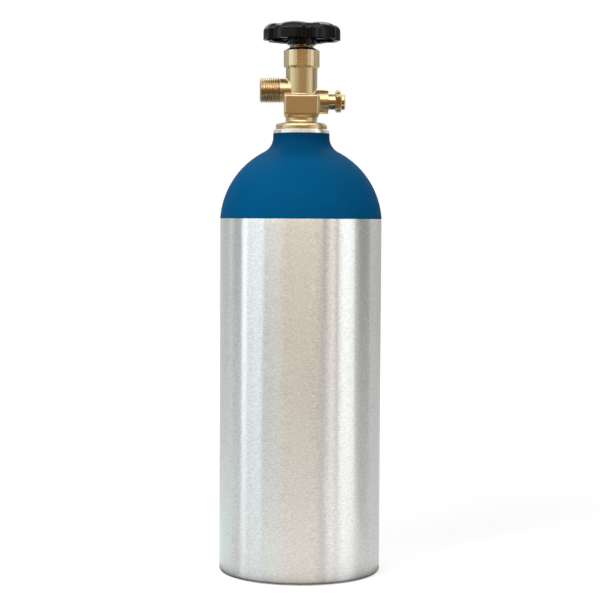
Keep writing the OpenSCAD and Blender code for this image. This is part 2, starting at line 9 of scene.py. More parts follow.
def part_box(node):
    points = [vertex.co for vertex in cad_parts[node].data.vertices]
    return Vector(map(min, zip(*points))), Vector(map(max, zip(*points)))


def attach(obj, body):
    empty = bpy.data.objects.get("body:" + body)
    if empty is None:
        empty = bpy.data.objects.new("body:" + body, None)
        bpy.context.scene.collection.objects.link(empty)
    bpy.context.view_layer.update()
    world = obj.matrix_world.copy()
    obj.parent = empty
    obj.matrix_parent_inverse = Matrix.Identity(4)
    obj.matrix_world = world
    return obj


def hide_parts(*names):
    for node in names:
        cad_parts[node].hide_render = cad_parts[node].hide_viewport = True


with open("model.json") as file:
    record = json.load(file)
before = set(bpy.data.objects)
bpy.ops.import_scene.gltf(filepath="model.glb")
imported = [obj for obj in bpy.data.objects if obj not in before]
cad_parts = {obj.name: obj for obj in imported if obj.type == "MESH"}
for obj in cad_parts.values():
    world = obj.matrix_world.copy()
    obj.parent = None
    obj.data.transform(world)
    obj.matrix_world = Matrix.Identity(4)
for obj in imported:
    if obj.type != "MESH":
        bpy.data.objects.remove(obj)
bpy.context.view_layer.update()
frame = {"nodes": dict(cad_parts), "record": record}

# The vessel: one seamless shell of aluminium alloy, drawn from a slug and spun in at the shoulder,
# with a hollow base and a bored neck. Its wall is left bare and belt-finished round the axis.
# Meshes are modelled in millimetres and become metres when they are made a piece.
MM = 0.001
weld = 1e-4
nodes = frame["nodes"]
mounts = {mount["name"]: mount for mount in frame["record"]["mounts"]}

barrel_r = mounts["barrel"]["dims"]["r_mm"]
neck_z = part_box("cylinder_shell")[1].z / MM
wall = 6.8
base_t = 13.0
base_edge_r = 3.2
base_hollow = 4.0
foot_w = 15.0
inner_corner_r = 14.0
neck_r = 23.0
neck_fillet_r = 14.0
neck_straight = 6.2
neck_chamfer = 1.0
neck_bore_r = 14.35
seal_gland_r = 17.75
seal_gland_h = 2.6
wall_steps = 192
fillet_x = neck_r + neck_fillet_r
fillet_z = neck_z - neck_straight
shoulder_z = fillet_z - math.sqrt((barrel_r + neck_fillet_r) ** 2 - fillet_x**2)
shoulder_end = math.degrees(math.atan2(fillet_z - shoulder_z, fillet_x))


def on_circle(x, z, r, angle):
    """The point of a circle about (x, z) at an angle in degrees."""
    turn = math.radians(angle)
    return x + r * math.cos(turn), z + r * math.sin(turn)


def arc(x, z, r, start, end, count=12):
    """Points along an arc about (x, z), from one angle to another in degrees."""
    return [on_circle(x, z, r, start + (end - start) * i / count) for i in range(count + 1)]


def turned(outline, steps=128):
    """A solid turned on the z axis from a half section given as (radius, height) points."""
    bm = bmesh.new()
    rim = [bm.verts.new((x, 0, z)) for x, z in outline]
    for a, b in zip(rim, rim[1:]):
        bm.edges.new((a, b))
    if outline[0][0] > 0 or outline[-1][0] > 0:
        bm.edges.new((rim[-1], rim[0]))
    bmesh.ops.spin(bm, geom=bm.verts[:] + bm.edges[:], axis=(0, 0, 1), angle=math.tau,
                   steps=steps, use_merge=True)
    bmesh.ops.remove_doubles(bm, verts=bm.verts, dist=weld)
    bmesh.ops.recalc_face_normals(bm, faces=bm.faces)
    return bm


def rough_piece(name, bm):
    """An object, still in millimetres, that holds a finished bmesh."""
    mesh = bpy.data.meshes.new(name)
    bm.to_mesh(mesh)
    bm.free()
    made = bpy.data.objects.new(name, mesh)
    bpy.context.scene.collection.objects.link(made)
    return made


def finished(made, material, body, slot, *replaced, crease=32):
    """Turns a rough piece to metres, shades it, and ties it to its body and CAD nodes (slot is
    unused).
    """
    made.data.transform(Matrix.Scale(MM, 4))
    made.data.shade_smooth()
    made.data.set_sharp_from_angle(angle=math.radians(crease))
    made.data.materials.clear()
    made.data.materials.append(material)
    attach(made, body)
    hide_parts(*replaced)
    return made


def linear(code):
    """An sRGB hex colour as the linear RGBA that a socket takes."""
    channels = [int(code[i:i + 2], 16) / 255 for i in (1, 3, 5)]
    return [c / 12.92 if c <= 0.04045 else ((c + 0.055) / 1.055) ** 2.4 for c in channels] + [1.0]


def new_material(name):
    """An empty node material and its tree."""
    material = bpy.data.materials.new(name)
    material.use_nodes = True
    material.node_tree.nodes.clear()
    return material, material.node_tree


def add(tree, kind, inputs=None, **settings):
    """Adds a node with its settings; an input is a value, or a socket to link from."""
    node = tree.nodes.new(kind)
    for name, value in settings.items():
        setattr(node, name, value)
    for name, value in (inputs or {}).items():
        if isinstance(value, bpy.types.NodeSocket):
            tree.links.new(value, node.inputs[name])
        else:
            node.inputs[name].default_value = value
    return node


# A colour mix has its two tones and its result at these sockets
tone_a, tone_b, mixed = 6, 7, 2


def shoulder_outline(skin):
    """The shoulder and its fillet up to the straight neck, grown outwards by skin."""
    dome = arc(0, shoulder_z, barrel_r + skin, 0, shoulder_end, 40)
    throat = arc(fillet_x, fillet_z, neck_fillet_r - skin, 180 + shoulder_end, 180, 16)
    return dome + throat[1:]


hollow_r = barrel_r - base_edge_r - foot_w
hollow_sphere_r = (hollow_r**2 + base_hollow**2) / (2 * base_hollow)
hollow_edge = math.degrees(math.acos(hollow_r / hollow_sphere_r))
inner_r = barrel_r - wall
bore_end = math.degrees(math.acos(neck_bore_r / inner_r))
vessel = turned(
    [(0, base_hollow)]
    + arc(0, base_hollow - hollow_sphere_r, hollow_sphere_r, 90, hollow_edge, 16)[1:]
    + arc(barrel_r - base_edge_r, base_edge_r, base_edge_r, -90, 0)
    + shoulder_outline(0)
    + [(neck_r, neck_z - neck_chamfer), (neck_r - neck_chamfer, neck_z), (seal_gland_r, neck_z)]
    + [(seal_gland_r, neck_z - seal_gland_h), (neck_bore_r, neck_z - seal_gland_h)]
    + arc(0, shoulder_z, inner_r, bore_end, 0, 24)
    + arc(inner_r - inner_corner_r, base_t + inner_corner_r, inner_corner_r, 0, -90)
    + [(0, base_t)],
    steps=wall_steps,
)

# Belt-finished aluminium: fine scratches run round the wall, so each one spreads a reflection up
# and down and keeps it narrow sideways. The scratches are drawn coarser than real, to show.
scratch_w = 1.0
scratch_l = 2.3
stain_w = 30.0
aluminium, tree = new_material("belt_finished_aluminium")
place = add(tree, "ShaderNodeTexCoord").outputs["Object"]
along_wall = add(tree, "ShaderNodeMapping", {
    "Vector": place,
    "Scale": (1 / (scratch_l * MM), 1 / (scratch_l * MM), 1 / (scratch_w * MM)),
}).outputs["Vector"]
scratches = add(tree, "ShaderNodeTexNoise", {
    "Vector": along_wall, "Scale": 1.0, "Detail": 4.0, "Roughness": 0.7,
}).outputs["Fac"]
glints = add(tree, "ShaderNodeMapRange", {
    "Value": scratches, "From Min": 0.35, "From Max": 0.65,
}).outputs["Result"]
stains = add(tree, "ShaderNodeTexNoise", {
    "Vector": place, "Scale": 1 / (stain_w * MM), "Detail": 3.0,
}).outputs["Fac"]
metal = add(tree, "ShaderNodeMix", {
    "Factor": glints, tone_a: linear("#d4d6d4"), tone_b: linear("#f5f6f4"),
}, data_type="RGBA").outputs[mixed]
dullness = add(tree, "ShaderNodeMapRange", {"Value": stains, "To Min": 0.28, "To Max": 0.34})
grooves = add(tree, "ShaderNodeBump", {
    "Height": scratches, "Strength": 0.06, "Distance": 0.05 * MM,
})
round_wall = add(tree, "ShaderNodeTangent", direction_type="RADIAL", axis="Z")
shader = add(tree, "ShaderNodeBsdfPrincipled", {
    "Base Color": metal, "Metallic": 1.0, "Roughness": dullness.outputs["Result"],
    "Anisotropic": 1.0, "Anisotropic Rotation": 0.25,
    "Tangent": round_wall.outputs["Tangent"], "Normal": grooves.outputs["Normal"],
})
add(tree, "ShaderNodeOutputMaterial", {"Surface": shader.outputs["BSDF"]})

finished(rough_piece("vessel", vessel), aluminium, "tank", "bare_aluminium", "cylinder_shell")

# The shoulder paint: a sprayed coat of satin blue enamel over the shoulder and neck, masked to a
# straight line at its foot and stopped short of the neck face.
paint_t = 0.3
paint_foot, paint_top = (corner.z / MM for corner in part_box("shoulder_paint"))
foot_angle = math.degrees(math.asin((paint_foot - shoulder_z) / barrel_r))
lip_angle = foot_angle + math.degrees(paint_t / barrel_r)
outside = [point for point in shoulder_outline(paint_t) if point[1] > paint_foot + paint_t]
inside = [point for point in shoulder_outline(0) if point[1] > paint_foot + paint_t]
paint = turned(
    [on_circle(0, shoulder_z, barrel_r, foot_angle)]
    + [on_circle(0, shoulder_z, barrel_r + paint_t, lip_angle)]
    + outside
    + [(neck_r + paint_t, paint_top), (neck_r, paint_top)]
    + inside[::-1],
    steps=wall_steps,
)

# Satin enamel: an even deep blue with a soft sheen and the slight orange peel of spray, with
# painted shade that darkens it towards the neck, and a darker narrow band along its foot.
peel_w = 1.6
cloud_w = 40.0
foot_band_h = 1.1
neck_shade_h = 8.0
neck_shade_foot = fillet_z - neck_fillet_r - neck_shade_h
enamel, tree = new_material("satin_blue_enamel")
place = add(tree, "ShaderNodeTexCoord").outputs["Object"]
height = add(tree, "ShaderNodeSeparateXYZ", {"Vector": place}).outputs["Z"]
clouds = add(tree, "ShaderNodeTexNoise", {
    "Vector": place, "Scale": 1 / (cloud_w * MM), "Detail": 4.0,
}).outputs["Fac"]
peel = add(tree, "ShaderNodeTexNoise", {
    "Vector": place, "Scale": 1 / (peel_w * MM), "Detail": 2.0,
}).outputs["Fac"]
# The coat is darker in a narrow band just above its foot
foot_band = add(tree, "ShaderNodeMapRange", {
    "Value": height, "From Min": paint_foot * MM, "From Max": (paint_foot + foot_band_h) * MM,
}).outputs["Result"]
coat = add(tree, "ShaderNodeMix", {
    "Factor": clouds, tone_a: linear("#005280"), tone_b: linear("#005e91"),
}, data_type="RGBA").outputs[mixed]
# Painted shade: the coat turns darker from below the neck fillet up to the top of the neck
painted_neck_shade = add(tree, "ShaderNodeMapRange", {
    "Value": height, "From Min": neck_shade_foot * MM, "From Max": paint_top * MM, "To Max": 0.8,
}).outputs["Result"]
coat = add(tree, "ShaderNodeMix", {
    "Factor": painted_neck_shade, tone_a: coat, tone_b: linear("#003f63"),
}, data_type="RGBA").outputs[mixed]
colour = add(tree, "ShaderNodeMix", {
    "Factor": foot_band, tone_a: linear("#003550"), tone_b: coat,
}, data_type="RGBA").outputs[mixed]
sheen = add(tree, "ShaderNodeMapRange", {"Value": peel, "To Min": 0.48, "To Max": 0.6})
skin = add(tree, "ShaderNodeBump", {"Height": peel, "Strength": 0.1, "Distance": 0.05 * MM})
shader = add(tree, "ShaderNodeBsdfPrincipled", {
    "Base Color": colour, "Roughness": sheen.outputs["Result"], "Specular IOR Level": 0.012,
    "Normal": skin.outputs["Normal"],
})
add(tree, "ShaderNodeOutputMaterial", {"Surface": shader.outputs["BSDF"]})

finished(rough_piece("shoulder_enamel", paint), enamel, "tank", "blue_enamel", "shoulder_paint")

# The neck seal: a nitrile rubber ring squeezed between the neck and the valve's flange.
# Nitrile is a dull near-black with a faint bloom.
bloom_w = 2.5


def mottled(name, dark, pale, patch_w, detail, finish):
    """A material that drifts between two tones, in patches of a given width."""
    material, tree = new_material(name)
    place = add(tree, "ShaderNodeTexCoord").outputs["Object"]
    patches = add(tree, "ShaderNodeTexNoise", {
        "Vector": place, "Scale": 1 / (patch_w * MM), "Detail": detail,
    }).outputs["Fac"]
    colour = add(tree, "ShaderNodeMix", {
        "Factor": patches, tone_a: linear(dark), tone_b: linear(pale),
    }, data_type="RGBA").outputs[mixed]
    shader = add(tree, "ShaderNodeBsdfPrincipled", {"Base Color": colour, **finish})
    add(tree, "ShaderNodeOutputMaterial", {"Surface": shader.outputs["BSDF"]})
    return material


def dress(node, material):
    """Gives a CAD node that is shown as it is a new material."""
    for slot in nodes[node].material_slots:
        slot.material = material


rubber = mottled("nitrile_rubber", "#161616", "#2a2a2b", bloom_w, 5.0,
                 {"Roughness": 0.7, "IOR": 1.52})
dress("neck_seal_ring", rubber)
dress("spindle_seal_ring", rubber)

# The valve body: a brass forging with soft edges, machined at the flange, the outlet thread, the
# relief boss and the bores, and screwed into the neck.
body_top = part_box("valve_body")[1].z / MM
flange_r = 21.2
flange_t = 5.3
flange_round = 2.6
stalk_r = 13.0
stalk_cove = 2.0
inlet_r = 14.25
inlet_l = 21.0
inlet_chamfer = 1.5
spare = 2.0


def moved(bm, matrix):
    """The same bmesh, turned or shifted into place."""
    bmesh.ops.transform(bm, matrix=matrix, verts=bm.verts)
    return bm


def even_shading(made):
    """Shades a piece with broken edges by its large faces, so that its flats stay flat."""
    made.modifiers.new("even shading", "WEIGHTED_NORMAL").keep_sharp = True


def settle(made):
    """Makes the object's modifiers part of its mesh."""
    graph = bpy.context.evaluated_depsgraph_get()
    mesh = bpy.data.meshes.new_from_object(made.evaluated_get(graph))
    made.modifiers.clear()
    made.data = mesh


def merge(made, other, operation):
    """Joins another rough piece to this one, cuts it out, or keeps what the two share."""
    joint = made.modifiers.new("joint", "BOOLEAN")
    joint.operation = operation
    joint.solver = "MANIFOLD"
    joint.object = other
    settle(made)
    bpy.data.objects.remove(other)


def combine(made, tool, operation):
    """The same with a bmesh."""
    merge(made, rough_piece("tool", tool), operation)


forging = rough_piece("valve_body", turned(
    [(0, neck_z - spare), (flange_r, neck_z - spare)]
    + arc(flange_r - flange_round, neck_z + flange_t - flange_round, flange_round, 0, 90)
    + arc(stalk_r + stalk_cove, neck_z + flange_t + stalk_cove, stalk_cove, 270, 180)
    + [(stalk_r, body_top + spare), (0, body_top + spare)]
))

# Wrench flats
block_w = 29.0
block_foot = neck_z + 10.1
block_h = 18.1
block_edge_r = 2.5
block_top_r = 1.2
block_foot_r = 3.0
block_cone_slope = math.tan(math.radians(30))
block_top = block_foot + block_h
slack = 0.01


def slab(low, high):
    """A box between two corners."""
    bm = bmesh.new()
    bmesh.ops.create_cube(bm, size=1.0)
    size = [b - a for a, b in zip(low, high)]
    middle = [(a + b) / 2 for a, b in zip(low, high)]
    return moved(bm, Matrix.LocRotScale(middle, None, size))


block = slab((-block_w / 2, -block_w / 2, block_foot), (block_w / 2, block_w / 2, block_top))
for radius, picked in (
    (block_edge_r, lambda edge: abs(edge.verts[0].co.z - edge.verts[1].co.z) > block_h / 2),
    (block_top_r, lambda edge: all(vert.co.z > block_top - slack for vert in edge.verts)),
    (block_foot_r, lambda edge: all(vert.co.z < block_foot + slack for vert in edge.verts)),
):
    bmesh.ops.bevel(block, geom=[edge for edge in block.edges if picked(edge)], offset=radius,
                    segments=6, profile=0.5, affect="EDGES", material=-1, clamp_overlap=True)
wrench_block = rough_piece("wrench_block", block)
combine(wrench_block, turned([
    (0, block_foot),
    (block_w / 2, block_foot),
    (block_w, block_foot + block_w / 2 * block_cone_slope),
    (block_w, block_top),
    (0, block_top),
]), "INTERSECT")
merge(forging, wrench_block, "UNION")

# Outlet spigot and relief boss, still as forged
outlet_z = mounts["outlet_thread"]["pos_m"][2] / MM
outlet_r = mounts["outlet_thread"]["dims"]["r_mm"]
outlet_face = -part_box("valve_body")[0].x / MM
outlet_thread_l = 16.2
outlet_root_r = 9.9
to_outlet = Matrix.Translation((0, 0, outlet_z)) @ Matrix.Rotation(math.radians(-90), 4, "Y")
spigot_end = outlet_face - outlet_thread_l
combine(forging, moved(turned(
    [(0, 0), (outlet_root_r, 0), (outlet_root_r, spigot_end), (0, spigot_end)]
), to_outlet), "UNION")

relief_z = sum(corner.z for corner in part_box("relief_plug")) / 2 / MM
relief_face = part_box("valve_body")[1].x / MM
relief_boss_r = 10.3
to_relief = Matrix.Translation((0, 0, relief_z)) @ Matrix.Rotation(math.radians(90), 4, "Y")
combine(forging, moved(turned(
    [(0, 0), (relief_boss_r, 0), (relief_boss_r, relief_face + spare), (0, relief_face + spare)]
), to_relief), "UNION")

# The forging's soft fillets: one skin at a fine grid, smoothed where its surfaces meet
grid = 0.4
soften_share = 0.5
soften_rounds = 10
skin = forging.modifiers.new("skin", "REMESH")
skin.mode = "VOXEL"
skin.voxel_size = grid
soften = forging.modifiers.new("soften", "SMOOTH")
soften.factor = soften_share
soften.iterations = soften_rounds
settle(forging)

# Machined faces
far = 60.0
combine(forging, slab((-far, -far, body_top), (far, far, body_top + far)), "DIFFERENCE")
combine(forging, slab((-far, -far, neck_z - far), (far, far, neck_z)), "DIFFERENCE")
combine(forging, slab((relief_face, -far, neck_z), (far, far, body_top)), "DIFFERENCE")
combine(forging, turned(
    [(0, neck_z - inlet_l), (inlet_r - inlet_chamfer, neck_z - inlet_l)]
    + [(inlet_r, neck_z - inlet_l + inlet_chamfer), (inlet_r, neck_z + spare), (0, neck_z + spare)]
), "UNION")

# Outlet thread, 14 to the inch, with flanks that lean 30 degrees
pitch = 25.4 / 14
lead_in, lead_out = 2, 1
thread_turns = lead_in + math.ceil(outlet_thread_l / pitch) + lead_out
turn_steps = 64
crest_w = pitch / 8
root_w = pitch / 4
flank_w = (pitch - crest_w - root_w) / 2
flank_lean = math.radians(30)
thread_depth = flank_w / math.tan(flank_lean)
outlet_chamfer = 1.2
overrun = 1.0
thread = bmesh.new()
tooth = [
    (outlet_r - thread_depth, 0),
    (outlet_r - thread_depth, root_w),
    (outlet_r, root_w + flank_w),
    (outlet_r, root_w + flank_w + crest_w),
    (outlet_r - thread_depth, pitch),
]
rim = [thread.verts.new((x, 0, z - lead_in * pitch)) for x, z in tooth]
for a, b in zip(rim, rim[1:]):
    thread.edges.new((a, b))
bmesh.ops.spin(thread, geom=thread.verts[:] + thread.edges[:], axis=(0, 0, 1),
               dvec=(0, 0, pitch / turn_steps), angle=math.tau * thread_turns,
               steps=thread_turns * turn_steps)
bmesh.ops.remove_doubles(thread, verts=thread.verts, dist=weld)
for level, direction in ((0, -1), (outlet_thread_l, 1)):
    bmesh.ops.bisect_plane(thread, geom=thread.verts[:] + thread.edges[:] + thread.faces[:],
                           plane_co=(0, 0, level), plane_no=(0, 0, direction), clear_outer=True)
bmesh.ops.holes_fill(thread, edges=[edge for edge in thread.edges if edge.is_boundary])
bmesh.ops.recalc_face_normals(thread, faces=thread.faces)
sleeve = rough_piece("outlet_thread", thread)
combine(sleeve, turned([
    (0, -spare),
    (outlet_r + overrun, -spare),
    (outlet_r + overrun, outlet_thread_l - outlet_chamfer - overrun),
    (outlet_r - outlet_chamfer, outlet_thread_l),
    (0, outlet_thread_l),
]), "INTERSECT")
sleeve.data.transform(to_outlet @ Matrix.Translation((0, 0, spigot_end)))
merge(forging, sleeve, "UNION")

# Gas ways: inlet, seat, plug chamber and bonnet thread, then the outlet and the relief hole
fit = 0.1
seat_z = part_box("closing_plug")[0].z / MM
chamber_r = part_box("closing_plug")[1].x / MM + fit
ledge_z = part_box("bonnet_gasket")[0].z / MM
bonnet_thread_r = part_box("bonnet_gasket")[1].x / MM + fit
inlet_bore_r = 4.0
orifice_r = 2.5
orifice_l = 2.4
seat_lip_r = 4.5
seat_lip_h = 1.0
combine(forging, turned([
    (0, neck_z - inlet_l - spare),
    (inlet_bore_r, neck_z - inlet_l - spare),
    (inlet_bore_r, seat_z - orifice_l),
    (orifice_r, seat_z - orifice_l),
    (orifice_r, seat_z),
    (seat_lip_r, seat_z),
    (seat_lip_r, seat_z - seat_lip_h),
    (chamber_r, seat_z - seat_lip_h),
    (chamber_r, ledge_z),
    (bonnet_thread_r, ledge_z),
    (bonnet_thread_r, body_top + spare),
    (0, body_top + spare),
]), "DIFFERENCE")

outlet_bore_r = mounts["outlet_bore"]["dims"]["r_mm"]
outlet_bore_l = mounts["outlet_bore"]["dims"]["length_mm"]
outlet_port_r = 3.0
mouth = 0.6
combine(forging, moved(turned([
    (0, 0),
    (outlet_port_r, 0),
    (outlet_port_r, outlet_face - outlet_bore_l),
    (outlet_bore_r, outlet_face - outlet_bore_l),
    (outlet_bore_r, outlet_face - mouth),
    (outlet_bore_r + mouth + spare, outlet_face + spare),
    (0, outlet_face + spare),
]), to_outlet), "DIFFERENCE")

relief_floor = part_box("relief_gasket")[0].x / MM
relief_hole_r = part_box("relief_gasket")[1].y / MM + fit
relief_way_r = 1.6
combine(forging, moved(turned([
    (0, 0),
    (relief_way_r, 0),
    (relief_way_r, relief_floor),
    (relief_hole_r, relief_floor),
    (relief_hole_r, relief_face + spare),
    (0, relief_face + spare),
]), to_relief), "DIFFERENCE")

# Forged brass: tumbled after forging and left to dull, so it has a satin skin with faint cloudy
# tarnish and a fine grain.
tarnish_w = 9.0
grain_w = 0.8
forged_brass, tree = new_material("forged_brass")
place = add(tree, "ShaderNodeTexCoord").outputs["Object"]
tarnish = add(tree, "ShaderNodeTexNoise", {
    "Vector": place, "Scale": 1 / (tarnish_w * MM), "Detail": 4.0,
}).outputs["Fac"]
grain = add(tree, "ShaderNodeTexNoise", {
    "Vector": place, "Scale": 1 / (grain_w * MM), "Detail": 3.0,
}).outputs["Fac"]
colour = add(tree, "ShaderNodeMix", {
    "Factor": tarnish, tone_a: linear("#bda982"), tone_b: linear("#cbb890"),
}, data_type="RGBA").outputs[mixed]
dullness = add(tree, "ShaderNodeMapRange", {"Value": tarnish, "To Min": 0.34, "To Max": 0.27})
skin = add(tree, "ShaderNodeBump", {"Height": grain, "Strength": 0.12, "Distance": 0.05 * MM})
shader = add(tree, "ShaderNodeBsdfPrincipled", {
    "Base Color": colour, "Metallic": 1.0, "Roughness": dullness.outputs["Result"],
    "Normal": skin.outputs["Normal"],
})
add(tree, "ShaderNodeOutputMaterial", {"Surface": shader.outputs["BSDF"]})

finished(forging, forged_brass, "tank", "forged_brass", "valve_body")

# The closing plug and its seat: a turned brass plug with a nylon disc let into its nose. The plug
# screws up and down in the chamber and is hidden by the body.
lathe_line_w = 0.5
lathe_line_l = 12.0


def turned_brass(name, line_scale):
    """Brass bar turned on a lathe: brighter than the forging, with fine rings about its axis."""
    material, tree = new_material(name)
    place = add(tree, "ShaderNodeTexCoord").outputs["Object"]
    round_axis = add(tree, "ShaderNodeMapping", {
        "Vector": place, "Scale": line_scale,
    }).outputs["Vector"]
    lines = add(tree, "ShaderNodeTexNoise", {
        "Vector": round_axis, "Scale": 1.0, "Detail": 3.0, "Roughness": 0.6,
    }).outputs["Fac"]
    colour = add(tree, "ShaderNodeMix", {
        "Factor": lines, tone_a: linear("#c4b089"), tone_b: linear("#d4c29d"),
    }, data_type="RGBA").outputs[mixed]
    rings = add(tree, "ShaderNodeBump", {"Height": lines, "Strength": 0.15, "Distance": 0.05 * MM})
    dullness = add(tree, "ShaderNodeMapRange", {"Value": lines, "To Min": 0.22, "To Max": 0.3})
    shader = add(tree, "ShaderNodeBsdfPrincipled", {
        "Base Color": colour, "Metallic": 1.0, "Roughness": dullness.outputs["Result"],
        "Normal": rings.outputs["Normal"],
    })
    add(tree, "ShaderNodeOutputMaterial", {"Surface": shader.outputs["BSDF"]})
    return material


across, along = 1 / (lathe_line_l * MM), 1 / (lathe_line_w * MM)
upright_brass = turned_brass("turned_brass_upright", (across, across, along))
level_brass = turned_brass("turned_brass_level", (along, across, across))
dress("closing_plug", upright_brass)

# Nylon is a milky cream with a soft gloss and fine specks
speck_w = 0.7
nylon = mottled("moulded_nylon", "#e4dcc2", "#efe9d6", speck_w, 2.0,
                {"Roughness": 0.45, "IOR": 1.53})
dress("seat_disc", nylon)

# The spindle with its back-up ring and thrust washer: turned brass with a square at each end, run
# in white fluoroplastic, which is waxy and slightly mottled.
dress("spindle", upright_brass)
mottle_w = 1.5
fluoroplastic = mottled("white_fluoroplastic", "#e9e9e4", "#f6f6f3", mottle_w, 3.0,
                        {"Roughness": 0.5, "IOR": 1.35})
for ring in ("spindle_backup_ring", "thrust_washer", "relief_gasket"):
    dress(ring, fluoroplastic)

# The bonnet and its gasket: a turned brass nut with six flats milled on a round blank, chamfered
# at both ends, with a round gland above. It screws down on an annealed copper ring.
bonnet_foot, gland_top = (corner.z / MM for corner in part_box("bonnet"))
bonnet_r = 14.8
bonnet_af = 28.6
bonnet_chamfer = 1.9
gland_r = 10.05
gland_h = 1.5
bonnet_cone_h = 2.4
gland_chamfer = 0.5
counterbore_r = 6.7
counterbore_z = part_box("thrust_washer")[1].z / MM
spindle_bore_r = 5.0
bonnet_top = gland_top - gland_h
flats = 6
half_flat = math.pi / flats
edge_break = 0.25
bonnet = rough_piece("bonnet", turned([
    (counterbore_r, bonnet_foot),
    (bonnet_thread_r - fit, bonnet_foot),
    (bonnet_thread_r - fit, body_top),
    (bonnet_r - bonnet_chamfer, body_top),
    (bonnet_r, body_top + bonnet_chamfer),
    (bonnet_r, bonnet_top - bonnet_cone_h),
    (gland_r, bonnet_top),
    (gland_r, gland_top - gland_chamfer),
    (gland_r - gland_chamfer, gland_top),
    (spindle_bore_r, gland_top),
    (spindle_bore_r, counterbore_z),
    (counterbore_r, counterbore_z),
]))


def hexagon(across_flats, low, high):
    """A hexagonal bar on the z axis with a corner at +x."""
    bm = bmesh.new()
    corner_r = across_flats / 2 / math.cos(half_flat)
    bmesh.ops.create_cone(bm, cap_ends=True, segments=flats, radius1=corner_r, radius2=corner_r,
                          depth=high - low)
    middle = Matrix.Translation((0, 0, (low + high) / 2))
    return moved(bm, middle @ Matrix.Rotation(half_flat, 4, "Z"))


def break_edges(made, sharper_than):
    """Rounds off each edge that turns by more than an angle in degrees."""
    rounded = made.modifiers.new("edge break", "BEVEL")
    rounded.width = edge_break
    rounded.segments = 2
    rounded.limit_method = "ANGLE"
    rounded.angle_limit = math.radians(sharper_than)
    settle(made)


combine(bonnet, hexagon(bonnet_af, bonnet_foot - spare, gland_top + spare), "INTERSECT")
break_edges(bonnet, sharper_than=12)
even_shading(finished(bonnet, upright_brass, "tank", "turned_brass", "bonnet"))

# Annealed copper is a soft red metal with patches of brown oxide
oxide_w = 4.0
copper = mottled("annealed_copper", "#8d5238", "#c98362", oxide_w, 4.0,
                 {"Metallic": 1.0, "Roughness": 0.42})
dress("bonnet_gasket", copper)
dress("rupture_disc", copper)

# The handwheel: moulded in glossy black phenolic, with six broad lobes parted by finger scallops,
# a dished top, and a hub and six ribs under its disc. Its square hole drops over the spindle.
hub_foot, rim_top = (corner.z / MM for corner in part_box("handwheel"))
wheel_r = 31.75
wheel_h = 13.25
wheel_round = 6.2
foot_round = 0.3
foot_bevel = 0.9
lobes = 6
lobe_step = math.tau / lobes
lobe_turn = math.radians(14.0)
scallop_depth = 4.0
scallop_half = math.radians(14.5)
scallop_floor = 0.5
lobe_half = lobe_step / 2 - scallop_half
lobe_flat = 0.6
dome_h = 0.9
still_r = 18.0
hub_r = 12.0
hub_round = 0.8
under_cove = 2.0
rim_inner_r = 28.75
rim_foot = rim_top - wheel_h
crest_inner_r = 22.6
dish_h = 4.5
dish_floor = rim_top - dish_h
dish_floor_r = 14.0
crown_steps = 12
recess_r = 8.5
recess_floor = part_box("handwheel_washer")[0].z / MM
web_t = 4.0
web_foot = dish_floor - web_t
rib_w = 3.0
rib_bite = 1.0
rib_lift = 2.0
rib_foot = rim_foot + rib_lift
square_w = 7.1


def eased(share):
    """A share from 0 to 1 that starts and ends gently."""
    return share * share * (3 - 2 * share)


def lobe_radius(angle):
    """The wheel's radius at an angle: almost flat on each lobe, drawn in at each scallop."""
    off = abs((angle - lobe_turn + lobe_step / 2) % lobe_step - lobe_step / 2)
    climb = ((lobe_step / 2 - off) / scallop_half - scallop_floor) / (1 - scallop_floor)
    face = wheel_r - lobe_flat * max(1 - (off / lobe_half) ** 2, 0.0)
    return face - scallop_depth * (1 - eased(min(max(climb, 0.0), 1.0)))


crown = [(crest_inner_r, rim_top)]
for i in range(crown_steps):
    fall = (i + 1) / crown_steps
    crown.append((
        crest_inner_r + (dish_floor_r - crest_inner_r) * fall,
        rim_top + (dish_floor - rim_top) * eased(fall),
    ))
wheel = turned(
    [(0, hub_foot)]
    + arc(hub_r - hub_round, hub_foot + hub_round, hub_round, -90, 0, 4)
    + arc(hub_r + under_cove, web_foot - under_cove, under_cove, 180, 90, 6)
    + arc(rim_inner_r - under_cove, web_foot - under_cove, under_cove, 90, 0, 6)
    + [(rim_inner_r, rim_foot + foot_bevel)]
    + arc(wheel_r - foot_round, rim_foot + foot_round, foot_round, -90, 0, 8)
    + arc(wheel_r - wheel_round, rim_top - wheel_round, wheel_round, 0, 90, 20)
    + crown
    + [(recess_r, dish_floor), (recess_r, recess_floor), (0, recess_floor)],
    steps=600,
)
for vert in wheel.verts:
    radius = math.hypot(vert.co.x, vert.co.y)
    if radius > still_r:
        turn = math.atan2(vert.co.y, vert.co.x)
        reach = (lobe_radius(turn) - still_r) / (wheel_r - still_r)
        drawn_in = still_r + (radius - still_r) * reach
        vert.co.x *= drawn_in / radius
        vert.co.y *= drawn_in / radius
        share = min(max((vert.co.z - rim_top) / wheel_round + 1, 0.0), 1.0)
        share *= min((radius - still_r) / (crest_inner_r - still_r), 1.0)
        vert.co.z -= share * dome_h * (1 - math.cos(lobes * (turn - lobe_turn))) / 2
handwheel = rough_piece("handwheel", wheel)
for i in range(lobes):
    rib = slab((hub_r - spare, -rib_w / 2, rib_foot),
               (rim_inner_r + rib_bite, rib_w / 2, web_foot + spare))
    turn = Matrix.Rotation(lobe_turn + i * lobe_step, 4, "Z")
    combine(handwheel, moved(rib, turn), "UNION")
half_square = square_w / 2
combine(handwheel, slab((-half_square, -half_square, hub_foot - spare),
                        (half_square, half_square, rim_top)), "DIFFERENCE")

